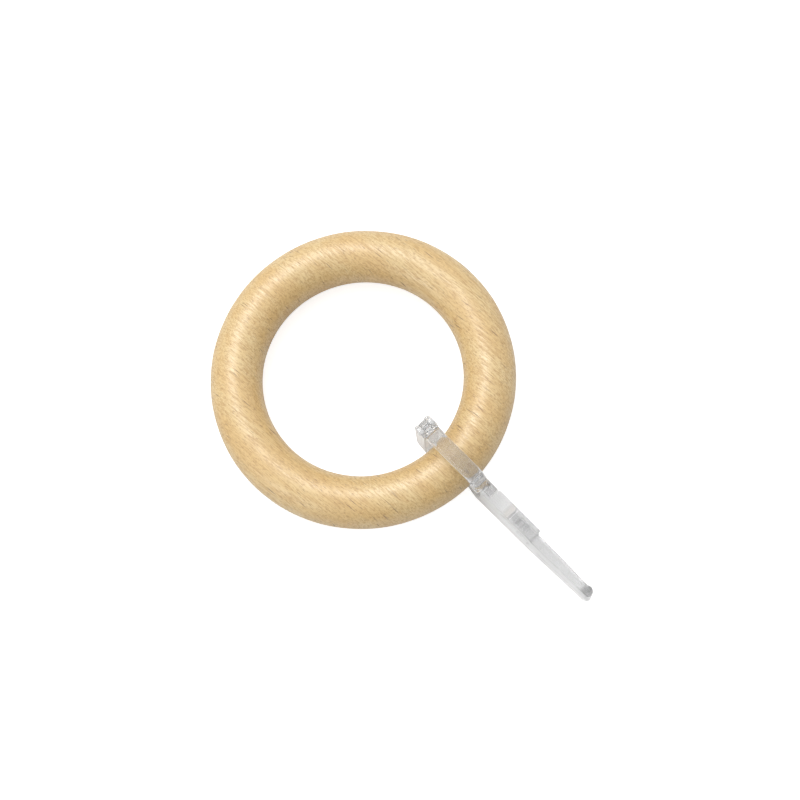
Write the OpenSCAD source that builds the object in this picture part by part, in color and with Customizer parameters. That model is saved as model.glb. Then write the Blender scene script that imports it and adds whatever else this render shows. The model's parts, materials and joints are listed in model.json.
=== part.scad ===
// Turned wooden ring with a clear plastic clip looped round it.
// The ring lies nearly flat. The clip stands on its straight lower edge and points along +X.
// Its flat plane is XZ, and its jaws open in that plane. +Y is its left side. The floor is Z = 0.

/* [Ring] */
// Outside diameter of the ring
ring_od = 70; // [60:1:76]
// Diameter of the ring's round section
tube_d = 12; // [10:0.5:12.5]

/* [Clip] */
// Thickness of the block, across the clip's flat plane
clip_t = 3.4; // [3.3:0.1:3.6]
// Thickness of the loop's upper bar
loop_t = 3.8; // [3.6:0.1:4.0]
// Thickness of the crown, which holds the gate's hinge
head_t = 4.4; // [4.2:0.1:4.8]
// How far the block hangs to the left of the ring's centre line
clip_side = 1.4; // [0.8:0.1:1.6]
// From the ring's centre to the outer face of the crown
crown_x = 18.0; // [17.6:0.1:18.4]
// Thickness of the crown post
crown_t = 3.5; // [3.4:0.1:3.7]
// From the ring's centre to the far wall of the loop
loop_end = 38.3; // [38:0.1:38.8]
// Depth of the loop, from the floor to the top of the gate
loop_h = 18.6; // [18.2:0.1:20]
// Depth of the loop's two bars
bar_h = 2.6; // [2.2:0.1:2.7]
// Play between the ring and the loop's lower bar
ring_play = 0.3; // [0.2:0.05:0.5]

/* [Block and jaws] */
// Depth of the block and shank
block_h = 14.0; // [13.6:0.1:14.4]
// From the ring's centre to the jaw's pivot
jaw_pin_x = 50.6; // [50:0.1:51]
// Height of the jaw's pivot
jaw_pin_z = 9.2; // [9:0.1:9.4]
// From the ring's centre to the jaws' tips
tip_x = 71.9; // [68:0.1:75]
// Lower edge of the jaws at the tip
tip_low = 1.5; // [0.5:0.1:2.5]
// Upper edge of the jaws at the tip
tip_high = 12.0; // [11:0.1:12.5]
// How far the jaws' left side is set back from the block's
jaw_step = 0.75; // [0.7:0.05:0.9]
// Thickness of the jaws at their tip
jaw_tip_t = 2.04; // [1.8:0.04:2.2]
// Radius of the bead across the moving jaw's tip
bead_r = 1.3; // [1.2:0.05:1.5]

/* [Pins and fits] */
// Radius of the gate's hinge pin
gate_pin_r = 0.6; // [0.5:0.05:0.7]
// Radius of the jaw's pivot pin
jaw_pin_r = 0.75; // [0.6:0.05:0.8]
// Radial clearance of a pin that turns
pin_play = 0.05; // [0.03:0.01:0.1]
// Gap between pieces that move past each other
gap = 0.25; // [0.2:0.05:0.3]

/* [Hidden] */
$fn = 96;
// Overlap of solids that join, and how far a cut runs past what it cuts.
tiny = 0.01;
past = 1;
// Steps of a drawn arc.
arc_steps = 12;
wood = [0.87, 0.72, 0.47];
clear = [0.86, 0.87, 0.88, 0.45];

// Ring: it rests on the clip's lower bar at one side and on the floor at the other.
tube_r = tube_d / 2;
ring_r = ring_od / 2 - tube_r;
ring_tilt = asin((bar_h + ring_play) / (2 * ring_r));
ring_z = tube_r + (bar_h + ring_play) / 2;
// The origin is below the middle of the bounding box, so the ring's centre is at this X.
ring_x = (ring_r * cos(ring_tilt) + tube_r - tip_x) / 2;

// Clip: half of its block's thickness, and its loop, whose middle plane is to the block's right.
half_t = clip_t / 2;
loop_side = -0.35;
loop_half = loop_t / 2;
head_half = head_t / 2;
loop_start = crown_x + crown_t;
head_corner_r = 0.9;
waist = 1.0;
waist_start = 24.0;
waist_end = 32.7;
block_start = 36.7;
loop_corner_r = 4.5;
crown_corner_r = 6.0;

// Gate: its hinge in the crown's fork, and its tongue in the notch of the shank.
gate_pin_x = crown_x + crown_t / 2;
fork_r = crown_t / 2;
gate_pin_z = loop_h - fork_r;
knuckle_t = 2.0;
knuckle_r = 1.45;
gate_low = loop_h - bar_h;
gate_bend_r = 5.0;
gate_heel = loop_end - gap;
tongue_end = 40.6;
tongue_t = 1.9;
tongue_z = block_h - tongue_t;
cheek_t = 0.6;

// Block: two ears hold the jaw's hub, and the push pad lies over them.
ear_t = 0.7;
ear_r = 2.85;
ear_h = 10.9;
hub_r = 2.0;
hub_play = 0.1;
lever_half_t = half_t - ear_t - hub_play;
pad_low = 12.0;
pad_start = 47.2;
pad_end = 54.0;
// The pad's end is an arc about the pivot, so that it turns close to the block.
pad_r = norm([jaw_pin_x - pad_start, block_h - jaw_pin_z]);
web_start = jaw_pin_x - hub_r;
web_end = jaw_pin_x + hub_r;
pocket_low = 9.0;
pin_inset = 0.1;

// Jaws: they part at this height and meet at their tips.
part_z = 6.7;
root_r = ear_r + gap;
jaw_start = web_end + root_r;
jaw_low = 0.5;
jaw_high = 13.3;
jaw_gap = 0.25;
tip_gap = 0.1;
grip_length = 3.2;
tip_corner_r = 2.0;
tip_inset = 0.4;
tip_end_r = jaw_tip_t / 2;
tip_side = tip_inset + tip_end_r - half_t;

// Spring: a bowed leaf between the pocket's floor and the push pad.
leaf_t = 0.4;
leaf_r = 1.75;
leaf_x = 46.5;
leaf_z = 10.1;
leaf_w = 1.6;

// Puts a piece of the clip where the clip hangs on the ring.
module on_clip() {
    translate([ring_x, clip_side, 0]) children();
}

// Puts a piece of the clip in the loop's middle plane.
module in_loop() {
    translate([0, loop_side, 0]) children();
}

// A plate cut to an outline in X and Z, from one Y to another.
module plate(y_low, y_high) {
    translate([0, y_high, 0]) rotate([90, 0, 0]) linear_extrude(y_high - y_low) children();
}

// A plate cut to an outline in X and Y, from one Z to another.
module slab(z_low, z_high) {
    translate([0, 0, z_low]) linear_extrude(z_high - z_low) children();
}

// A rectangle given by two opposite corners.
module area(low, high) {
    translate(low) square(high - low);
}

// A cylinder along Y, centred on the clip's middle plane.
module cross_pin(x, z, r, length) {
    translate([x, length / 2, z]) rotate([90, 0, 0]) cylinder(r = r, h = length);
}

// Points along an arc, from one angle to another.
function arc(centre, r, from, to) = [
    for (i = [0 : arc_steps]) centre + r * [
        cos(from + (to - from) * i / arc_steps),
        sin(from + (to - from) * i / arc_steps)
    ]
];

// The side of the loop and block that never opens, in X and Z.
module body_outline() {
    ear_end = asin((part_z - jaw_pin_z) / ear_r);
    ear_top = asin((ear_h - jaw_pin_z) / ear_r);
    polygon(concat(
        arc([gate_pin_x, gate_pin_z], fork_r, 0, 180),
        arc([crown_x + crown_corner_r, crown_corner_r], crown_corner_r, 180, 270),
        [[web_end, 0], [jaw_start, jaw_low], [jaw_start, part_z]],
        arc([jaw_pin_x, jaw_pin_z], ear_r, ear_end, ear_top),
        [[jaw_pin_x, ear_h], [jaw_pin_x, block_h], [loop_end, block_h]],
        arc([loop_end - loop_corner_r, bar_h + loop_corner_r], loop_corner_r, 0, -90),
        arc([loop_start + loop_corner_r, bar_h + loop_corner_r], loop_corner_r, -90, -180)
    ));
}

// The loop and block in X and Y: a wide crown, a waist under the ring, and the block.
module body_plan() {
    left = loop_side + head_half;
    right = loop_side - head_half;
    polygon(concat(
        arc([crown_x + head_corner_r, left - head_corner_r], head_corner_r, 90, 180),
        arc([crown_x + head_corner_r, right + head_corner_r], head_corner_r, 180, 270),
        [[loop_start, right], [waist_start, -waist], [waist_end, -waist], [block_start, -half_t]],
        [[jaw_start, -half_t], [jaw_start, half_t], [block_start, half_t]],
        [[waist_end, loop_side + loop_half], [loop_start, loop_side + loop_half], [loop_start, left]]
    ));
}

// The fixed jaw in X and Z, from inside the block to a tip with a round corner.
module fixed_jaw_outline() {
    polygon(concat(
        [[jaw_pin_x, jaw_low]],
        arc([tip_x - tip_corner_r, tip_low + tip_corner_r], tip_corner_r, -90, 0),
        [[tip_x, part_z], [jaw_pin_x, part_z]]
    ));
}

// The moving jaw in X and Z, outside the block's ears.
module moving_jaw_outline() {
    polygon(concat(
        [[jaw_pin_x, part_z + jaw_gap], [tip_x - grip_length, part_z + jaw_gap]],
        [[tip_x - grip_length, part_z + tip_gap], [tip_x, part_z + tip_gap]],
        arc([tip_x - tip_corner_r, tip_high - tip_corner_r], tip_corner_r, 0, 90),
        [[jaw_pin_x, jaw_high]]
    ));
}

// Both jaws in X and Y: flush with the block's right side, then a taper with a round tip.
module jaw_plan() {
    left = half_t - jaw_step;
    polygon(concat(
        [[jaw_start, left], [jaw_pin_x, left], [jaw_pin_x, -half_t], [jaw_start, -half_t]],
        arc([tip_x - tip_end_r, tip_side], tip_end_r, -90, 90)
    ));
}

module ring() {
    color(wood) translate([ring_x, 0, ring_z]) rotate([0, -ring_tilt, 0])
        rotate_extrude() translate([ring_r, 0]) circle(tube_r);
}

module clip_body() {
    color(clear) on_clip() {
        difference() {
            intersection() {
                plate(-head_t, head_t) body_outline();
                slab(0, loop_h) body_plan();
            }
            in_loop() {
                // slot of the crown's fork, round about the gate's pin
                cross_pin(gate_pin_x, gate_pin_z, fork_r + gap, knuckle_t + 2 * pin_play);
                // bore of the gate's pin
                cross_pin(gate_pin_x, gate_pin_z, gate_pin_r, head_t + past);
            }
            // notch for the gate's tongue, with a cheek left on one side
            plate(cheek_t - half_t, clip_t)
                area([loop_end - past, tongue_z - pin_play], [tongue_end + 2 * gap, block_h + past]);
            // room for the push pad, over the ears and across the whole block
            plate(-clip_t, clip_t) intersection() {
                translate([jaw_pin_x, jaw_pin_z]) circle(pad_r + gap);
                area([loop_end, ear_h], [tip_x, block_h + past]);
            }
            // pocket for the spring, and slot for the jaw's hub, both between the ears
            plate(ear_t - half_t, half_t - ear_t) {
                intersection() {
                    translate([jaw_pin_x, jaw_pin_z]) circle(pad_r + gap);
                    area([loop_end, pocket_low], [tip_x, block_h]);
                }
                area([web_start - jaw_gap, part_z], [tip_x, block_h]);
            }
            // bore of the jaw's pin
            cross_pin(jaw_pin_x, jaw_pin_z, jaw_pin_r, clip_t + past);
        }
        intersection() {
            plate(-clip_t, clip_t) fixed_jaw_outline();
            slab(0, block_h) jaw_plan();
        }
    }
}

// The gate's arch in X and Z: straight over the ring, then bent down to the shank.
module gate_outline() {
    bend = [gate_heel - gate_bend_r, loop_h - gate_bend_r];
    polygon(concat(
        [[gate_pin_x, gate_low]],
        arc(bend, gate_bend_r - bar_h, 90, 0),
        [[gate_heel - bar_h, tongue_z], [gate_heel, tongue_z]],
        arc(bend, gate_bend_r, asin((block_h + gap - bend.y) / gate_bend_r), 90),
        [[gate_pin_x, loop_h]]
    ));
}

module loop_gate() {
    color(clear) on_clip() difference() {
        union() {
            in_loop() {
                cross_pin(gate_pin_x, gate_pin_z, knuckle_r, knuckle_t);
                plate(-knuckle_t / 2, knuckle_t / 2)
                    area([gate_pin_x, gate_low + gap], [gate_pin_x + 2 * fork_r, loop_h]);
                difference() {
                    plate(-loop_half, loop_half) gate_outline();
                    cross_pin(gate_pin_x, gate_pin_z, fork_r + 2 * gap, clip_t + past);
                }
            }
            plate(cheek_t - half_t + pin_play, loop_side + loop_half)
                area([gate_heel - bar_h / 2, tongue_z], [tongue_end, block_h]);
        }
        in_loop() cross_pin(gate_pin_x, gate_pin_z, gate_pin_r + pin_play, clip_t + past);
    }
}

module gate_pin() {
    color(clear) on_clip() in_loop() cross_pin(gate_pin_x, gate_pin_z, gate_pin_r, head_t - 2 * pin_inset);
}

module jaw_lever() {
    color(clear) on_clip() difference() {
        union() {
            cross_pin(jaw_pin_x, jaw_pin_z, hub_r, 2 * lever_half_t);
            // web between the hub and the push pad, and neck between the ears
            plate(-lever_half_t, lever_half_t) {
                area([web_start, jaw_pin_z], [web_end, pad_low + tiny]);
                area([jaw_pin_x, part_z + 2 * jaw_gap], [jaw_pin_x + root_r + past, pad_low + tiny]);
            }
            // push pad over the ears
            plate(-half_t, half_t) intersection() {
                translate([jaw_pin_x, jaw_pin_z]) circle(pad_r);
                area([loop_end, pad_low], [pad_end, block_h]);
            }
            // blade beyond the ears
            difference() {
                intersection() {
                    plate(-clip_t, clip_t) moving_jaw_outline();
                    slab(0, block_h) jaw_plan();
                }
                cross_pin(jaw_pin_x, jaw_pin_z, root_r, clip_t + past);
            }
            // bead along one side of the tip
            intersection() {
                plate(tip_side, clip_t) moving_jaw_outline();
                slab(0, block_h) translate([tip_x - bead_r, tip_side]) circle(bead_r);
            }
        }
        cross_pin(jaw_pin_x, jaw_pin_z, jaw_pin_r + pin_play, clip_t + past);
    }
}

module jaw_pin() {
    color(clear) on_clip() cross_pin(jaw_pin_x, jaw_pin_z, jaw_pin_r, clip_t - 2 * pin_inset);
}

module jaw_spring() {
    color(clear) on_clip() plate(-leaf_w / 2, leaf_w / 2) intersection() {
        translate([leaf_x, leaf_z]) difference() {
            circle(leaf_r);
            circle(leaf_r - leaf_t);
        }
        area([leaf_x - leaf_r, pocket_low], [leaf_x + leaf_r, pad_low]);
    }
}

ring();
clip_body();
loop_gate();
gate_pin();
jaw_lever();
jaw_pin();
jaw_spring();
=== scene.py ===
import json
import math

import bmesh
import bpy
from mathutils import Matrix, Vector, noise


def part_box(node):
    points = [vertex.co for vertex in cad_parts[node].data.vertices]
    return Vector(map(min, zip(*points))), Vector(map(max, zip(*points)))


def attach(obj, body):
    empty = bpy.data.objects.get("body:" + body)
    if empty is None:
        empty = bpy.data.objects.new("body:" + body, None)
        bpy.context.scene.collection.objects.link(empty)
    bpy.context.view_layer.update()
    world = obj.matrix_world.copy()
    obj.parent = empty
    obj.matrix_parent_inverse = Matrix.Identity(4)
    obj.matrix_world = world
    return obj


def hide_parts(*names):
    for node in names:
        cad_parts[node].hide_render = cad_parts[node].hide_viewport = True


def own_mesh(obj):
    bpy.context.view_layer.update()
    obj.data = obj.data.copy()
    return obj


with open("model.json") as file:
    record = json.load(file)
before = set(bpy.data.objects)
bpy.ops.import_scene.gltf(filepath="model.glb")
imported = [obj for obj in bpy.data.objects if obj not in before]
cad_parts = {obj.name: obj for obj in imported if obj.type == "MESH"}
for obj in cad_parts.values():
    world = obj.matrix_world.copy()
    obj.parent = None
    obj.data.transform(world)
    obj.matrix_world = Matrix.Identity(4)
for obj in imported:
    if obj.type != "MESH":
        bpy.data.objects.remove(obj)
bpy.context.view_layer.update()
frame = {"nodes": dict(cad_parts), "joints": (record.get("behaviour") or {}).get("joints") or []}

MM = 0.001
X_AXIS = Vector((1, 0, 0))
Z_AXIS = Vector((0, 0, 1))
WHITE = (1, 1, 1, 1)
joints = {joint["name"]: joint for joint in frame["joints"]}

# The ring, as the CAD model has it: its centre and axis are those of the joint that the clip
# travels on, and its section's radius follows from its height above the floor.
ring_low, ring_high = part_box("ring")
ring_centre = Vector(joints["clip_travel"]["pos_m"])
ring_axis = Vector(joints["clip_travel"]["axis"]).normalized()
outer_r = (ring_high.y - ring_low.y) / 2
slope = -ring_axis.x
tube_r = (ring_centre.z - outer_r * slope) / (1 - slope)
ring_r = outer_r - tube_r
ring_lean = Z_AXIS.rotation_difference(ring_axis).to_matrix().to_4x4()
ring_frame = Matrix.Translation(ring_centre) @ ring_lean


# ---------------------------------------------------------------- camera

def make_camera():
    """A long lens high above the ring, turned so that the clip points down and to the right."""
    focal_length = 108.4
    sensor_width = 36
    distance = 550 * MM
    elevation = math.radians(77.2)
    azimuth = math.radians(-31.2)
    clip_slant = math.radians(44.8)
    middle_right = 8.5 * MM
    middle_down = 5.0 * MM

    def picture_axes(away):
        along_clip = (X_AXIS - X_AXIS.dot(away) * away).normalized()
        across_clip = away.cross(along_clip)
        right = math.cos(clip_slant) * along_clip + math.sin(clip_slant) * across_clip
        return right, away.cross(right)

    away = Vector((
        math.cos(elevation) * math.cos(azimuth),
        math.cos(elevation) * math.sin(azimuth),
        math.sin(elevation),
    ))
    right, up = picture_axes(away)
    place = ring_centre + distance * away
    middle = ring_centre + middle_right * right - middle_down * up
    away = (place - middle).normalized()
    right, up = picture_axes(away)
    data = bpy.data.cameras.new("camera")
    data.lens = focal_length
    data.sensor_width = sensor_width
    data.clip_start = 10 * MM
    camera = bpy.data.objects.new("camera", data)
    turn = Matrix((right, up, away)).transposed()
    camera.matrix_world = Matrix.Translation(place) @ turn.to_4x4()
    bpy.context.collection.objects.link(camera)
    bpy.context.scene.camera = camera


# ---------------------------------------------------------------- materials

class Shader:
    """A material's node tree, with one Principled shader and short ways to add nodes."""

    def __init__(self, name):
        self.material = bpy.data.materials.new(name)
        self.material.use_nodes = True
        self.tree = self.material.node_tree
        self.tree.nodes.clear()
        self.output = self.tree.nodes.new("ShaderNodeOutputMaterial")
        self.principled = self.tree.nodes.new("ShaderNodeBsdfPrincipled")
        self.tree.links.new(self.principled.outputs[0], self.output.inputs[0])

    def add(self, kind, settings=None, **inputs):
        """Adds a node with the given settings and inputs; an underscore stands for a space."""
        node = self.tree.nodes.new("ShaderNode" + kind)
        for key, value in (settings or {}).items():
            setattr(node, key, value)
        for key, value in inputs.items():
            self.put(node, key.replace("_", " "), value)
        return node

    def put(self, node, key, value):
        """Links another node's output to an input, or sets the input to a plain value."""
        socket = node.inputs[int(key) if key.isdigit() else key]
        if isinstance(value, bpy.types.NodeSocket):
            self.tree.links.new(value, socket)
        else:
            socket.default_value = value

    def set(self, **inputs):
        for key, value in inputs.items():
            self.put(self.principled, key.replace("_", " "), value)

    def object_place(self):
        return self.add("TexCoord").outputs["Object"]

    def math(self, operation, a, b):
        node = self.add("Math", {"operation": operation})
        self.put(node, "0", a)
        self.put(node, "1", b)
        return node.outputs[0]

    def step(self, value, low, high, to_low=0.0, to_high=1.0):
        """Turns a value smoothly from to_low, at low, into to_high, at high."""
        node = self.add("MapRange", {"interpolation_type": "SMOOTHSTEP"})
        for key, number in zip("01234", (value, low, high, to_low, to_high)):
            self.put(node, key, number)
        return node.outputs[0]

    def tint(self, share, colour, other):
        """Mixes a share of the other colour into a colour."""
        node = self.add("Mix", {"data_type": "RGBA"})
        for key, value in (("0", share), ("6", colour), ("7", other)):
            self.put(node, key, value)
        return node.outputs[2]


def rgb(red, green, blue):
    """A colour given as a screen shows it, from 0 to 255, as the linear values that nodes use."""
    def linear(value):
        value /= 255
        return value / 12.92 if value <= 0.04045 else ((value + 0.055) / 1.055) ** 2.4
    return linear(red), linear(green), linear(blue), 1.0


def grain_place(shader, cell):
    """The wood's own coordinates, in cells of a size along the grain, across it and deep."""
    grain_turn = math.radians(5)
    turned = shader.add("Mapping", {"vector_type": "TEXTURE"}, Vector=shader.object_place())
    turned.inputs["Rotation"].default_value = (0, 0, grain_turn)
    scaled = shader.add("VectorMath", {"operation": "DIVIDE"})
    shader.put(scaled, "0", turned.outputs[0])
    scaled.inputs[1].default_value = [size * MM for size in cell]
    return scaled.outputs[0]


def grain_noise(shader, cell, detail, roughness):
    noise_node = shader.add("TexNoise", Vector=grain_place(shader, cell), Scale=1.0,
                            Detail=detail, Roughness=roughness)
    return noise_node.outputs[0]


def flecks(shader, cell, share, seed):
    """Ray flecks: dark spindles that lie along the grain, in a share of the cells."""
    full_within, gone_past = 0.05, 0.26
    darkest_share = 0.3 * share
    shifted = shader.add("VectorMath", {"operation": "ADD"})
    shader.put(shifted, "0", grain_place(shader, cell))
    shifted.inputs[1].default_value = (seed, seed, seed)
    cells = shader.add("TexVoronoi", {"feature": "F1"}, Vector=shifted.outputs[0], Scale=1.0)
    body = shader.step(cells.outputs["Distance"], full_within, gone_past, 1.0, 0.0)
    pick = shader.add("SeparateColor", Color=cells.outputs["Color"])
    chosen = shader.step(pick.outputs[0], 1 - share, 1 - darkest_share)
    return shader.math("MULTIPLY", body, chosen)


def beech():
    """Waxed beech: soft bands, fine streaks and pores along the grain, and dark ray flecks."""
    honey, cream = rgb(204, 171, 111), rgb(210, 184, 131)
    tan, brown, umber = rgb(178, 141, 83), rgb(152, 110, 58), rgb(92, 54, 24)
    shader = Shader("beech")
    # Each cell is in millimetres along the grain, across it and deep.
    bands = grain_noise(shader, (34, 5, 5), 3.0, 0.5)
    streaks = grain_noise(shader, (5, 0.34, 0.6), 3.0, 0.65)
    pores = grain_noise(shader, (1.0, 0.22, 0.22), 2.0, 0.6)
    long_flecks = flecks(shader, (8.0, 0.46, 4.5), share=0.5, seed=0.0)
    short_flecks = flecks(shader, (3.0, 0.36, 2.4), share=0.55, seed=7.3)
    marks = shader.math("MAXIMUM", long_flecks, shader.math("MULTIPLY", short_flecks, 0.7))

    colour = shader.tint(shader.step(bands, 0.3, 0.7), honey, cream)
    colour = shader.tint(shader.step(streaks, 0.42, 0.68, 0.0, 0.75), colour, tan)
    colour = shader.tint(shader.step(pores, 0.5, 0.7, 0.0, 0.65), colour, brown)
    colour = shader.tint(shader.math("MULTIPLY", marks, 0.9), colour, umber)
    height = shader.math("SUBTRACT", shader.math("ADD", pores, streaks), marks)
    bump = shader.add("Bump", Strength=0.55, Distance=0.05 * MM, Height=height)
    roughness = shader.step(streaks, 0.35, 0.65, 0.32, 0.58)
    shader.set(Base_Color=colour, Roughness=roughness, IOR=1.5, Specular_IOR_Level=1.0,
               Normal=bump.outputs[0], Coat_Weight=0.5, Coat_Roughness=0.42, Coat_IOR=1.5,
               Coat_Normal=bump.outputs[0])
    return shader.material


def grey(shader, level):
    """A grey for a colour socket: one number all over, or (start, end, outside, inside) for a
    level that is lower between two places along X."""
    if not isinstance(level, tuple):
        return level, level, level, 1
    start, end, outside, inside = level
    soft = 0.4 * MM
    along = shader.add("SeparateXYZ", Vector=shader.object_place()).outputs[0]
    enter = shader.step(along, start - soft, start + soft, outside, inside)
    leave = shader.step(along, end - soft, end + soft, inside, outside)
    here = shader.math("MAXIMUM", enter, leave)
    return shader.add("CombineColor", Red=here, Green=here, Blue=here).outputs[0]


def clear_plastic(name, passed, milky, shade):
    """Clear moulded plastic: the light it lets through, its haze, and how much light each of its
    walls leaves in its shadow. A slight sheen makes its edges pale."""
    flow_size = 2 * MM
    shader = Shader(name)
    flow = shader.add("TexNoise", Vector=shader.object_place(), Scale=1 / flow_size, Detail=2.0)
    bump = shader.add("Bump", Strength=0.06, Distance=0.05 * MM, Height=flow.outputs[0])
    roughness = shader.step(flow.outputs[0], 0.3, 0.7, 0.08, 0.18)
    shader.set(Base_Color=grey(shader, passed), Transmission_Weight=1 - milky, IOR=1.49,
               Roughness=roughness, Normal=bump.outputs[0], Sheen_Weight=0.8,
               Sheen_Roughness=0.35)
    lamp_side = shader.add("BsdfTransparent", Color=grey(shader, shade))
    path = shader.add("LightPath")
    lit = shader.add("MixShader")
    sides = (path.outputs["Is Shadow Ray"], shader.principled.outputs[0], lamp_side.outputs[0])
    for key, socket in zip("012", sides):
        shader.put(lit, key, socket)
    shader.tree.links.new(lit.outputs[0], shader.output.inputs[0])
    return shader.material


def floor_surface():
    """A matt pale floor, with a glow that only the camera sees, so that it looks white."""
    shader = Shader("floor")
    path = shader.add("LightPath")
    glow = shader.math("MULTIPLY", path.outputs["Is Camera Ray"], 0.65)
    shader.set(Base_Color=(0.7, 0.7, 0.7, 1), Roughness=0.9, Specular_IOR_Level=0.1,
               Emission_Color=WHITE, Emission_Strength=glow)
    return shader.material


# ---------------------------------------------------------------- pieces

def finish_piece(piece, material, body, node):
    piece.data.materials.clear()
    piece.data.materials.append(material)
    for face in piece.data.polygons:
        face.use_smooth = True
    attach(piece, body)
    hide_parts(node)


def make_ring(material):
    """A turned ring: a round section swept round, with the slight waver of handwork."""
    around, about = 384, 96
    waver = 0.05 * MM
    waver_size = 9 * MM
    noise_top = 0.6
    mesh = bmesh.new()
    rows = []
    for i in range(around):
        turn = 2 * math.pi * i / around
        outward = Vector((math.cos(turn), math.sin(turn), 0))
        row = []
        for j in range(about):
            tip = 2 * math.pi * j / about
            normal = math.cos(tip) * outward + math.sin(tip) * Z_AXIS
            point = ring_r * outward + tube_r * normal
            dent = waver * (noise.noise(point / waver_size) - noise_top)
            row.append(mesh.verts.new(ring_frame @ (point + dent * normal)))
        rows.append(row)
    for i in range(around):
        for j in range(about):
            k, m = (i + 1) % around, (j + 1) % about
            mesh.faces.new((rows[i][j], rows[k][j], rows[k][m], rows[i][m]))
    data = bpy.data.meshes.new("ring_wood")
    mesh.to_mesh(data)
    mesh.free()
    ring = bpy.data.objects.new("ring_wood", data)
    bpy.context.collection.objects.link(ring)
    finish_piece(ring, material, "ring", "ring")


def make_moulding(name, node, body, material, grid=0.14 * MM, rounds=5):
    """A moulded piece in a CAD node's place: the same shape with its sharp edges rounded off."""
    data = frame["nodes"][node].data.copy()
    data.name = name
    piece = bpy.data.objects.new(name, data)
    bpy.context.collection.objects.link(piece)
    remesh = piece.modifiers.new("remesh", "REMESH")
    remesh.mode = "VOXEL"
    remesh.voxel_size = grid
    smooth = piece.modifiers.new("smooth", "SMOOTH")
    smooth.factor = 0.5
    smooth.iterations = rounds
    bpy.context.view_layer.update()
    shaped = piece.evaluated_get(bpy.context.evaluated_depsgraph_get())
    piece.data = bpy.data.meshes.new_from_object(shaped)
    piece.modifiers.clear()
    piece.data.name = name
    finish_piece(piece, material, body, node)
    return piece


def round_bar(piece):
    """Rounds the four long edges of the gate's arch, which the smoothing leaves nearly square."""
    low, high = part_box("loop_gate")
    # The bar's half height, its bend and the length of its tongue are those of the CAD part.
    bar_half_h = 1.3 * MM
    bend_r = 5.0 * MM
    tongue = 2.55 * MM
    corner_r = 1.15 * MM
    hinge_end = low.x + 5 * MM
    blend = 1.5 * MM
    middle_y = (low.y + high.y) / 2
    half_t = (high.y - low.y) / 2
    middle_r = bend_r - bar_half_h
    arch_foot = high.z - bend_r
    bend = Vector((high.x - tongue - bend_r, arch_foot))
    for vertex in piece.data.vertices:
        point = vertex.co
        spoke = Vector((point.x - bend.x, point.z - bend.y))
        if spoke.x <= 0:
            outward = Vector((0, 1))
            depth = spoke.y - middle_r
        elif spoke.y <= 0:
            outward = Vector((1, 0))
            depth = spoke.x - middle_r
        else:
            outward = spoke.normalized()
            depth = spoke.length - middle_r
        side = point.y - middle_y
        past_side = abs(side) - (half_t - corner_r)
        past_depth = abs(depth) - (bar_half_h - corner_r)
        reach = math.hypot(max(past_side, 0), max(past_depth, 0))
        in_corner = past_side > 0 and past_depth > 0 and reach > corner_r
        if point.z < arch_foot or not in_corner:
            continue
        share = min(max((point.x - hinge_end) / blend, 0), 1)
        pull = share * (1 - corner_r / reach)
        point.y -= math.copysign(past_side * pull, side)
        inward = math.copysign(past_depth * pull, depth) * outward
        point.x -= inward.x
        point.z -= inward.y


def make_clip():
    """The clip's mouldings, each in its own clear plastic: the gate shades most under its arch,
    and the jaw is darkest in the bead at its tip."""
    gate_low, gate_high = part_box("loop_gate")
    jaw_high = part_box("jaw_lever")[1]
    arch_inset = 5 * MM
    bead_length, past_tip = 2.6 * MM, 1 * MM
    arch = (gate_low.x + arch_inset, gate_high.x - arch_inset)
    bead = (jaw_high.x - bead_length, jaw_high.x + past_tip)
    pin_grid, leaf_grid = 0.08 * MM, 0.06 * MM
    body_plastic = clear_plastic("body_plastic", passed=0.95, milky=0.26, shade=0.78)
    gate_plastic = clear_plastic("gate_plastic", passed=0.82, milky=0.05, shade=(*arch, 0.8, 0.32))
    jaw_plastic = clear_plastic("jaw_plastic", passed=(*bead, 0.75, 0.45), milky=0.24, shade=0.7)
    pin_plastic = clear_plastic("pin_plastic", passed=0.7, milky=0.1, shade=0.7)
    make_moulding("clip_body_moulding", "clip_body", "clip", body_plastic)
    gate = make_moulding("loop_gate_moulding", "loop_gate", "gate", gate_plastic, rounds=10)
    round_bar(gate)
    make_moulding("jaw_lever_moulding", "jaw_lever", "jaw", jaw_plastic)
    make_moulding("gate_pin_rod", "gate_pin", "clip", pin_plastic, pin_grid, 3)
    make_moulding("jaw_pin_rod", "jaw_pin", "clip", pin_plastic, pin_grid, 3)
    spring = make_moulding("jaw_spring_leaf", "jaw_spring", "clip", pin_plastic, leaf_grid, 3)
    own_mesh(spring)


# ---------------------------------------------------------------- studio

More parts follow.
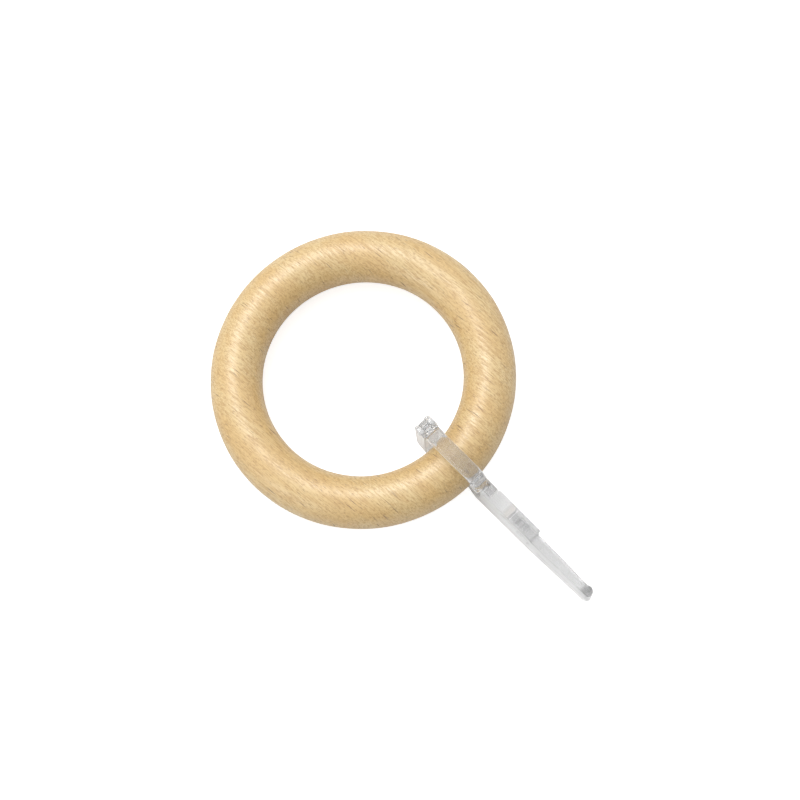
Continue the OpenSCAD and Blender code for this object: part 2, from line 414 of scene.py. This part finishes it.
def make_floor(material):
    """A pale sweep: flat under the object, and rising all round it far away."""
    flat_r, rise_r, spokes, steps = 2.5, 0.6, 96, 16
    gap_below = 0.02 * MM
    radii = [0.02, 0.2, 0.6, flat_r]
    heights = [0.0] * len(radii)
    for i in range(1, steps + 1):
        angle = math.pi / 2 * i / steps
        radii.append(flat_r + rise_r * math.sin(angle))
        heights.append(rise_r * (1 - math.cos(angle)))
    mesh = bmesh.new()
    rows = []
    for radius, height in zip(radii, heights):
        row = []
        for k in range(spokes):
            turn = 2 * math.pi * k / spokes
            row.append(mesh.verts.new((radius * math.cos(turn), radius * math.sin(turn), height)))
        rows.append(row)
    mesh.faces.new(rows[0])
    for inner, outer in zip(rows, rows[1:]):
        for k in range(spokes):
            n = (k + 1) % spokes
            mesh.faces.new((inner[k], outer[k], outer[n], inner[n]))
    data = bpy.data.meshes.new("floor")
    mesh.to_mesh(data)
    mesh.free()
    floor = bpy.data.objects.new("floor", data)
    floor.data.materials.append(material)
    for face in floor.data.polygons:
        face.use_smooth = True
    floor.location.z = -gap_below
    bpy.context.collection.objects.link(floor)


def make_world():
    """A soft even dome that darkens towards the side where the clip points."""
    bright_side = Vector((-0.96, 0.2, 0.1)).normalized()
    darkest, evenly_bright = -0.95, -0.25
    dim, full = 0.1, 1.1
    world = bpy.data.worlds.new("studio")
    world.use_nodes = True
    tree = world.node_tree
    back = tree.nodes["Background"]
    back.inputs["Color"].default_value = WHITE
    place = tree.nodes.new("ShaderNodeTexCoord")
    toward = tree.nodes.new("ShaderNodeVectorMath")
    toward.operation = "DOT_PRODUCT"
    tree.links.new(place.outputs["Generated"], toward.inputs[0])
    toward.inputs[1].default_value = bright_side
    level = tree.nodes.new("ShaderNodeMapRange")
    tree.links.new(toward.outputs["Value"], level.inputs["Value"])
    level.inputs["From Min"].default_value = darkest
    level.inputs["From Max"].default_value = evenly_bright
    level.inputs["To Min"].default_value = dim
    level.inputs["To Max"].default_value = full
    tree.links.new(level.outputs[0], back.inputs["Strength"])
    bpy.context.scene.world = world


def make_lamp(name, place, width, watts):
    """A round soft lamp that faces the ring."""
    data = bpy.data.lights.new(name, "AREA")
    data.shape = "DISK"
    data.size = width
    data.energy = watts
    lamp = bpy.data.objects.new(name, data)
    lamp.location = place
    toward = ring_centre - Vector(place)
    lamp.rotation_euler = toward.to_track_quat("-Z", "Y").to_euler()
    bpy.context.collection.objects.link(lamp)


bpy.context.scene.view_settings.view_transform = "Standard"
make_camera()
make_world()
make_lamp("overhead", place=(-0.54, 0.1, 0.85), width=0.6, watts=4.4)
make_lamp("side", place=(-0.05, -0.9, 0.4), width=0.4, watts=1.0)
make_floor(floor_surface())
make_ring(beech())
make_clip()

bpy.context.view_layer.update()
